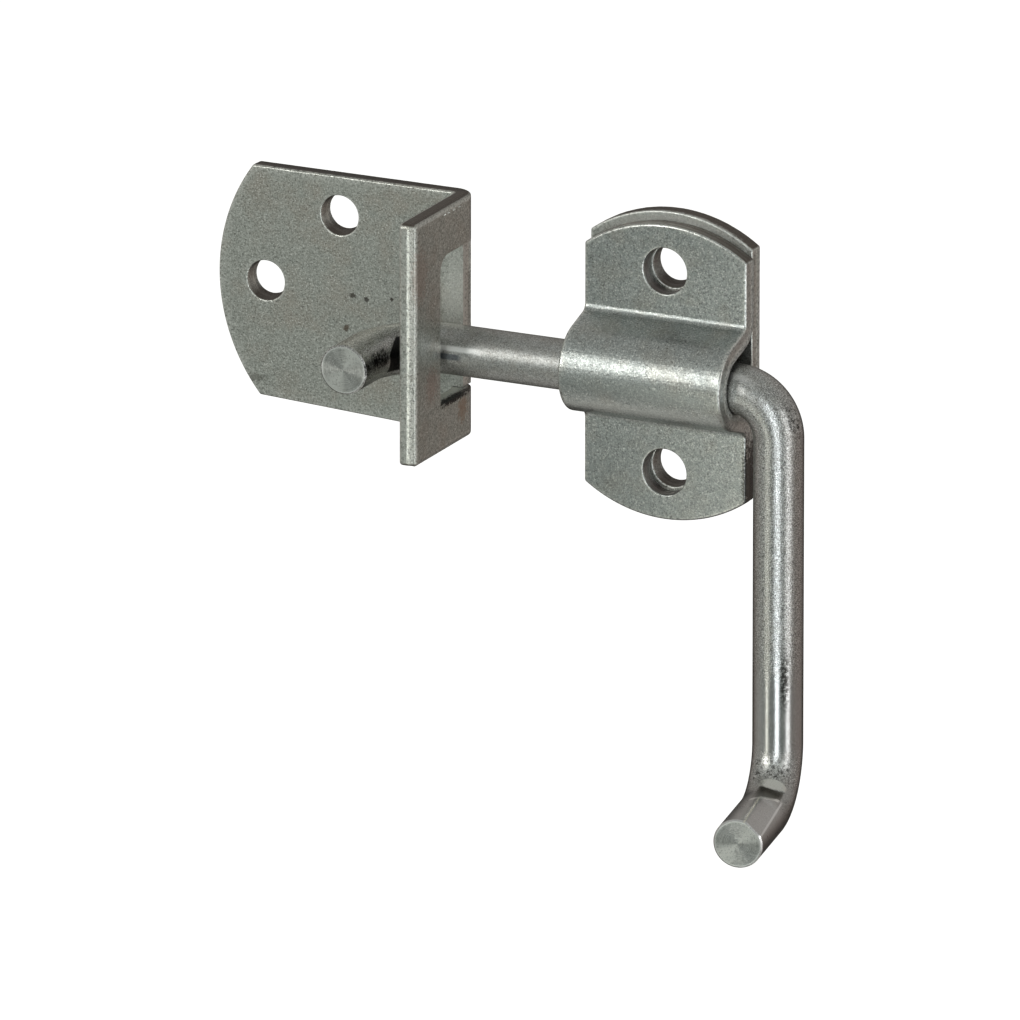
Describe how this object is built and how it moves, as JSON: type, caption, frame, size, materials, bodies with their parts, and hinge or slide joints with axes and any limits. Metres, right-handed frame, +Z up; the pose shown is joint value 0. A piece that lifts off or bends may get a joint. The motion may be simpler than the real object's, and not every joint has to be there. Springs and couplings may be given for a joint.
{
  "type": "security latch",
  "caption": "Bare steel side latch: a cranked round bar turns in a strap bearing and hooks through the window of a folded keeper plate, for locking by a padlock or seal.",
  "frame": {"origin": "middle of the bearing's two bolt holes, on the wall behind it", "axes": "+X along the spindle from the hook towards the handle, +Y into the wall, +Z up"},
  "size_m": [0.171, 0.0496, 0.1526],
  "materials": {
    "plate_steel": "bare hot-rolled steel, dull",
    "strap_steel": "bare pressed steel, satin",
    "keeper_steel": "bare rolled steel, mottled satin",
    "rod_steel": "bare drawn steel bar, satin with scale marks at its bends"
  },
  "bodies": {
    "mounted": {"keeper": "keeper_steel", "back_plate": "plate_steel", "bearing_strap": "strap_steel"},
    "rod": {"latch_rod": "rod_steel"}
  },
  "joints": [
    {"name": "rod_turn", "type": "hinge", "parent": "mounted", "child": "rod", "pos_m": [0, -0.0131, -0.00025], "axis": [-1, 0, 0], "range_deg": [0, 90]}
  ]
}
